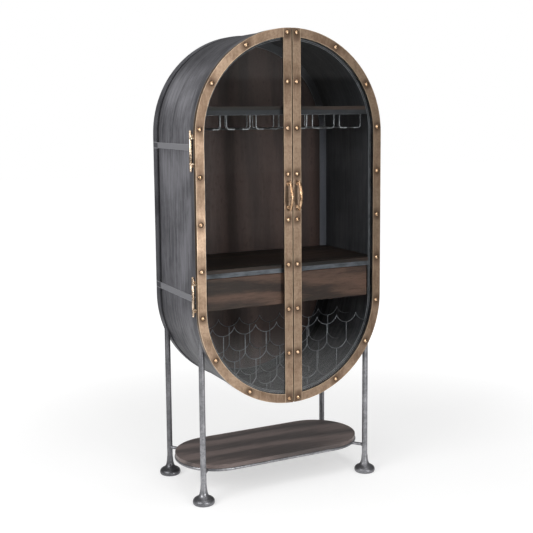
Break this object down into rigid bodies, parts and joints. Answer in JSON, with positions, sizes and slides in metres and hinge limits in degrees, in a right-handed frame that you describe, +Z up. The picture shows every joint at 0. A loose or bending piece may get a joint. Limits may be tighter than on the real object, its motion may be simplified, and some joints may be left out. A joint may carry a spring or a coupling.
{
  "type": "bar armoire",
  "caption": "Capsule-shaped iron bar cabinet on round legs, with glazed brass-framed doors, drawers, shelves, stemware rails, a bottle rack and a lower shelf.",
  "frame": {"origin": "on the floor, below the centre of the object's bounding box", "axes": "+Z up, +X to the right as the doors are faced, the doors face -Y"},
  "size_m": [0.867, 0.5219, 1.905],
  "materials": {
    "iron": "dark waxed iron",
    "leg_iron": "mottled grey iron",
    "rack_bar": "dull bright steel",
    "brass": "antique brushed",
    "glass": "clear",
    "wood": "oiled dark wood",
    "drawer_wood": "oiled dark wood",
    "dark_wood": "dark stained",
    "rubber": "matt"
  },
  "bodies": {
    "cabinet": {"top_arch_sheet": "iron", "bottom_arch_sheet": "iron", "left_side_sheet": "iron", "right_side_sheet": "iron", "front_frame": "iron", "rear_frame": "iron", "tie_bars": "iron", "back_panel": "wood", "upper_shelf_board": "wood", "upper_shelf_angle": "iron", "upper_shelf_cleats": "iron", "stemware_rack": "rack_bar", "mid_shelf_board": "wood", "mid_shelf_angle": "iron", "mid_shelf_cleats": "iron", "drawer_partition": "wood", "centre_runner": "iron", "outer_runners": "iron", "bottle_rack_front": "rack_bar", "bottle_rack_rear": "rack_bar", "front_left_leg": "leg_iron", "front_right_leg": "leg_iron", "rear_left_leg": "leg_iron", "rear_right_leg": "leg_iron", "feet": "leg_iron", "lower_shelf_board": "dark_wood", "lower_shelf_ring": "iron", "lower_shelf_struts": "iron", "case_knuckles": "brass", "hinge_pins": "brass", "door_buffers": "rubber"},
    "left_door": {"left_door_bow": "brass", "left_door_stile": "brass", "left_door_glass": "glass", "left_door_glass_stop": "iron", "left_door_rivets": "brass", "left_door_handle": "brass", "left_door_knuckles": "brass"},
    "left_drawer": {"left_drawer_front": "drawer_wood", "left_drawer_sides": "drawer_wood", "left_drawer_back": "drawer_wood", "left_drawer_bottom": "drawer_wood"},
    "right_door": {"right_door_bow": "brass", "right_door_stile": "brass", "right_door_glass": "glass", "right_door_glass_stop": "iron", "right_door_rivets": "brass", "right_door_handle": "brass", "right_door_knuckles": "brass"},
    "right_drawer": {"right_drawer_front": "drawer_wood", "right_drawer_sides": "drawer_wood", "right_drawer_back": "drawer_wood", "right_drawer_bottom": "drawer_wood"}
  },
  "joints": [
    {"name": "left_door_hinge", "type": "hinge", "parent": "cabinet", "child": "left_door", "pos_m": [-0.428, -0.191, 1.145], "axis": [0, 0, -1], "range_deg": [0, 170]},
    {"name": "right_door_hinge", "type": "hinge", "parent": "cabinet", "child": "right_door", "pos_m": [0.428, -0.191, 1.145], "axis": [0, 0, 1], "range_deg": [0, 170]},
    {"name": "left_drawer_slide", "type": "slide", "parent": "cabinet", "child": "left_drawer", "axis": [0, -1, 0], "range_m": [0, 0.24]},
    {"name": "right_drawer_slide", "type": "slide", "parent": "cabinet", "child": "right_drawer", "axis": [0, -1, 0], "range_m": [0, 0.24]}
  ],
  "couplings": [
    {"joint": "left_drawer_slide", "follows": "left_door_hinge", "m_per_rad": 0.0808},
    {"joint": "right_drawer_slide", "follows": "right_door_hinge", "m_per_rad": 0.0808}
  ]
}
